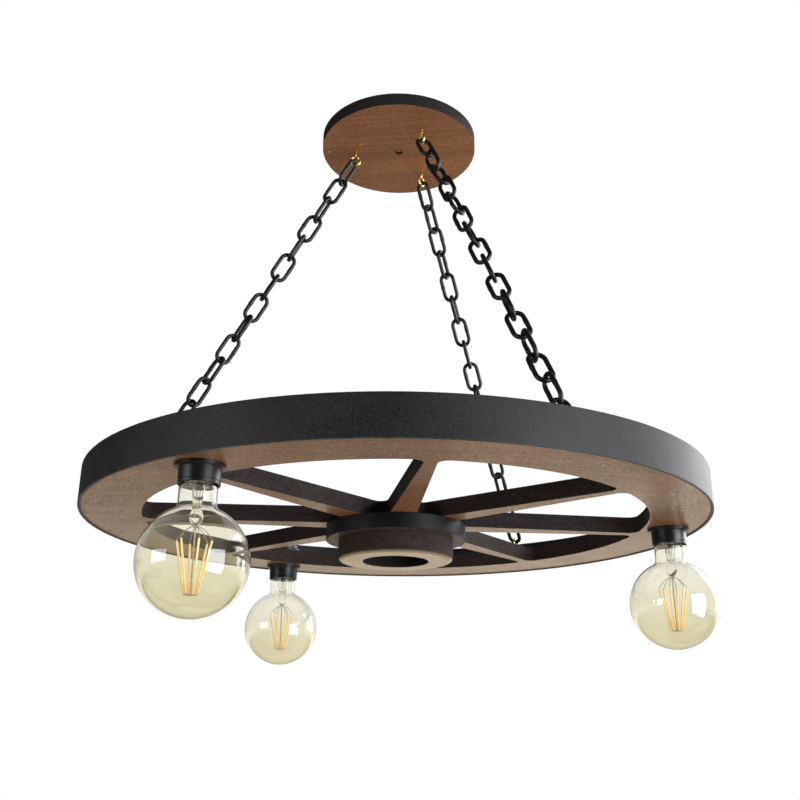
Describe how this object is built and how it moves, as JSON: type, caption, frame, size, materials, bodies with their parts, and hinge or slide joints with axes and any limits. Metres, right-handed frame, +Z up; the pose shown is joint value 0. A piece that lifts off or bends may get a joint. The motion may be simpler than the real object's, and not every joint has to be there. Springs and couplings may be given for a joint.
{
  "type": "wagon wheel chandelier",
  "caption": "Wooden wagon wheel with a steel tyre and a hub, hung level on chains from a round ceiling plate, with lamp holders and globe bulbs under the rim.",
  "frame": {"origin": "centre of the ceiling plate's top face, where it lies against the ceiling", "axes": "+Z up, out of the ceiling plate's top face; the wheel hangs toward -Z; +X to the right and +Y away from a viewer who stands as in the picture"},
  "size_m": [0.6864, 0.674, 0.6635],
  "materials": {
    "wood_wheel": "stained and oiled wood with a fine grain",
    "wood_canopy": "stained and oiled wood with a fine grain",
    "wood_hub": "stained dark wood, lighter on the cut face",
    "steel_tyre": "charcoal painted steel, satin, with a blue grey sheen",
    "chain_black": "black satin paint",
    "brass": "bright brass wire",
    "bakelite": "black moulded resin, satin",
    "nickel": "nickel plated, satin",
    "ceramic": "white glazed ceramic",
    "glass_amber": "clear glass with a pale amber tint",
    "filament": "yellow coated filament sticks"
  },
  "bodies": {
    "ceiling": {"canopy_disc": "wood_canopy", "canopy_screw": "brass", "canopy_washer": "brass", "canopy_pin": "brass", "terminal_block": "ceramic", "terminal_screws": "brass", "canopy_eye_1": "brass", "canopy_eye_2": "brass", "canopy_eye_3": "brass"},
    "wheel": {"wheel_plate": "wood_wheel", "tyre_band": "steel_tyre", "hub_disc": "wood_hub", "hub_band": "steel_tyre", "hub_boss": "wood_hub", "hub_screws": "nickel", "rim_eye_1": "brass", "rim_eye_2": "brass", "rim_eye_3": "brass", "holder_body_1": "bakelite", "holder_ring_1": "bakelite", "holder_nut_1": "bakelite", "holder_shell_1": "brass", "holder_plug_1": "ceramic", "holder_contact_1": "brass", "holder_body_2": "bakelite", "holder_ring_2": "bakelite", "holder_nut_2": "bakelite", "holder_shell_2": "brass", "holder_plug_2": "ceramic", "holder_contact_2": "brass", "holder_body_3": "bakelite", "holder_ring_3": "bakelite", "holder_nut_3": "bakelite", "holder_shell_3": "brass", "holder_plug_3": "ceramic", "holder_contact_3": "brass"},
    "links_1": {"chain_1": "chain_black"},
    "bulb_1": {"bulb_glass_1": "glass_amber", "bulb_cap_1": "nickel", "bulb_base_1": "bakelite", "bulb_tip_1": "nickel", "bulb_stem_1": "glass_amber", "bulb_filaments_1": "filament", "bulb_wires_1": "nickel"},
    "links_2": {"chain_2": "chain_black"},
    "bulb_2": {"bulb_glass_2": "glass_amber", "bulb_cap_2": "nickel", "bulb_base_2": "bakelite", "bulb_tip_2": "nickel", "bulb_stem_2": "glass_amber", "bulb_filaments_2": "filament", "bulb_wires_2": "nickel"},
    "links_3": {"chain_3": "chain_black"},
    "bulb_3": {"bulb_glass_3": "glass_amber", "bulb_cap_3": "nickel", "bulb_base_3": "bakelite", "bulb_tip_3": "nickel", "bulb_stem_3": "glass_amber", "bulb_filaments_3": "filament", "bulb_wires_3": "nickel"}
  },
  "joints": [
    {"name": "wheel_sway", "type": "hinge", "parent": "ceiling", "child": "wheel", "pos_m": [0, 0, 0.069], "axis": [0, 1, 0], "range_deg": [-5, 5]},
    {"name": "chain_1_swing", "type": "hinge", "parent": "ceiling", "child": "links_1", "pos_m": [0.03076, 0.0456, -0.03], "axis": [0, 1, 0], "range_deg": [-6.2, 6.2]},
    {"name": "chain_2_swing", "type": "hinge", "parent": "ceiling", "child": "links_2", "pos_m": [-0.055, 0.00048, -0.03], "axis": [0, 1, 0], "range_deg": [-6.2, 6.2]},
    {"name": "chain_3_swing", "type": "hinge", "parent": "ceiling", "child": "links_3", "pos_m": [0.0275, -0.04763, -0.03], "axis": [0, 1, 0], "range_deg": [-6.2, 6.2]},
    {"name": "bulb_1_out", "type": "slide", "parent": "wheel", "child": "bulb_1", "axis": [0, 0, -1], "range_m": [0, 0.03]},
    {"name": "bulb_2_out", "type": "slide", "parent": "wheel", "child": "bulb_2", "axis": [0, 0, -1], "range_m": [0, 0.03]},
    {"name": "bulb_3_out", "type": "slide", "parent": "wheel", "child": "bulb_3", "axis": [0, 0, -1], "range_m": [0, 0.03]}
  ],
  "couplings": [
    {"joint": "chain_1_swing", "follows": "wheel_sway", "ratio": 1.2245},
    {"joint": "chain_2_swing", "follows": "wheel_sway", "ratio": 1.2245},
    {"joint": "chain_3_swing", "follows": "wheel_sway", "ratio": 1.2245}
  ]
}
